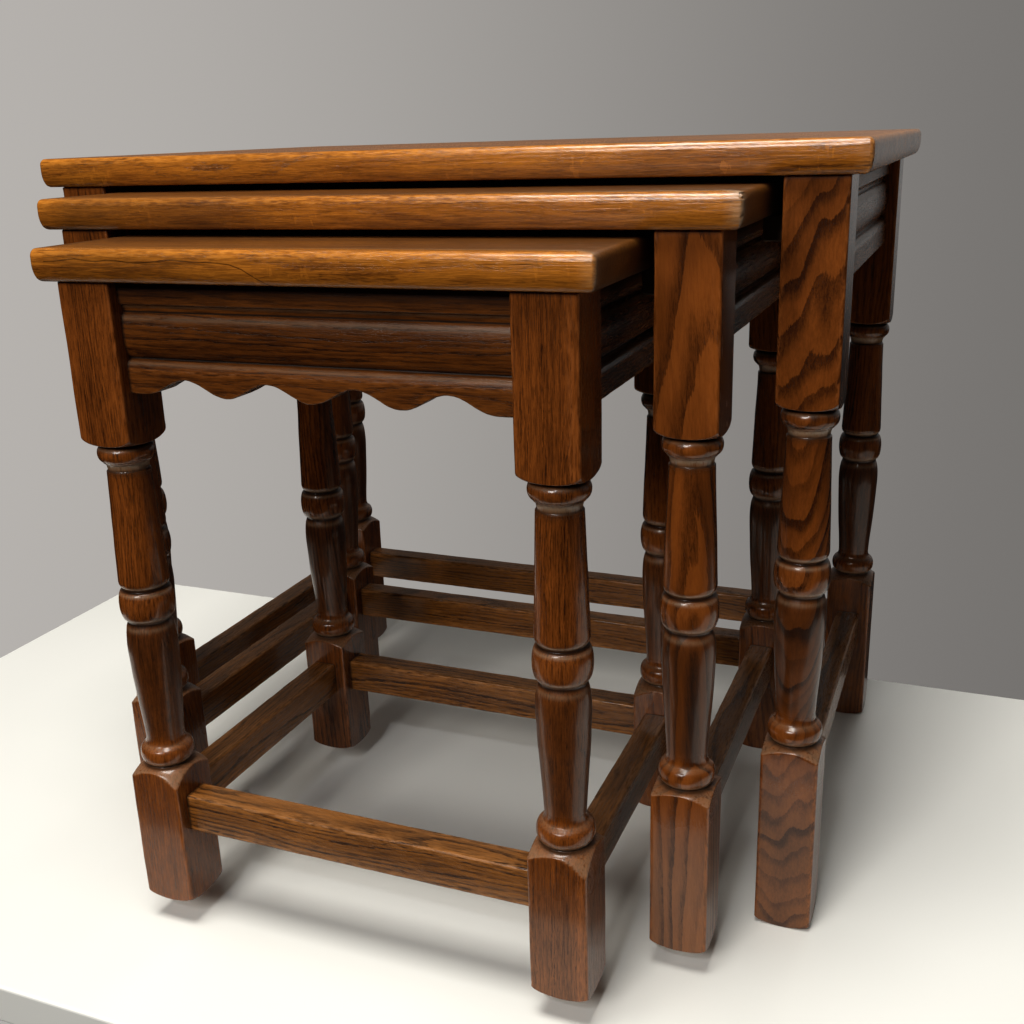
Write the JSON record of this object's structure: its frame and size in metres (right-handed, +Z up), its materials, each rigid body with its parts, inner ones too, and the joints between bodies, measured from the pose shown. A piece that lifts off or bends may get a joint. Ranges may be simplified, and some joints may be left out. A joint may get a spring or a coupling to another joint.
{
  "type": "nest of tables",
  "caption": "Nest of oak side tables with turned baluster legs and moulded aprons; each smaller table hangs by its top on runners inside the next and slides out to the front.",
  "frame": {"origin": "on the floor, in the middle of the whole nest's footprint at rest", "axes": "+Z up; -Y is the front, where the smaller tables slide out; +X is to the right seen from the front"},
  "size_m": [0.586, 0.5254, 0.526],
  "materials": {
    "top_oak": "golden-brown stained oak, satin varnish",
    "leg_oak": "dark reddish-brown stained oak, satin varnish, worn arrises",
    "rail_oak": "dark-brown stained oak, satin varnish",
    "runner_oak": "oak, thinly stained, waxed",
    "steel": "zinc-plated, dull"
  },
  "bodies": {
    "large": {"large_top": "top_oak", "large_leg_front_left": "leg_oak", "large_leg_front_right": "leg_oak", "large_leg_rear_left": "leg_oak", "large_leg_rear_right": "leg_oak", "large_apron_left": "rail_oak", "large_apron_right": "rail_oak", "large_apron_rear": "rail_oak", "large_stretcher_left": "rail_oak", "large_stretcher_right": "rail_oak", "large_stretcher_rear": "rail_oak", "large_runner_left": "runner_oak", "large_runner_right": "runner_oak", "large_brackets": "steel", "large_screws": "steel"},
    "middle": {"middle_top": "top_oak", "middle_leg_front_left": "leg_oak", "middle_leg_front_right": "leg_oak", "middle_leg_rear_left": "leg_oak", "middle_leg_rear_right": "leg_oak", "middle_apron_left": "rail_oak", "middle_apron_right": "rail_oak", "middle_apron_rear": "rail_oak", "middle_stretcher_left": "rail_oak", "middle_stretcher_right": "rail_oak", "middle_stretcher_rear": "rail_oak", "middle_runner_left": "runner_oak", "middle_runner_right": "runner_oak", "middle_brackets": "steel", "middle_screws": "steel"},
    "small": {"small_top": "top_oak", "small_leg_front_left": "leg_oak", "small_leg_front_right": "leg_oak", "small_leg_rear_left": "leg_oak", "small_leg_rear_right": "leg_oak", "small_apron_left": "rail_oak", "small_apron_right": "rail_oak", "small_apron_rear": "rail_oak", "small_apron_front": "rail_oak", "small_stretcher_left": "rail_oak", "small_stretcher_right": "rail_oak", "small_stretcher_rear": "rail_oak", "small_stretcher_front": "rail_oak", "small_brackets": "steel", "small_screws": "steel"}
  },
  "joints": [
    {"name": "middle_slide", "type": "slide", "parent": "large", "child": "middle", "axis": [0, 1, 0], "range_m": [-0.215, 0.069]},
    {"name": "small_slide", "type": "slide", "parent": "middle", "child": "small", "axis": [0, 1, 0], "range_m": [-0.16, 0.0715]}
  ]
}
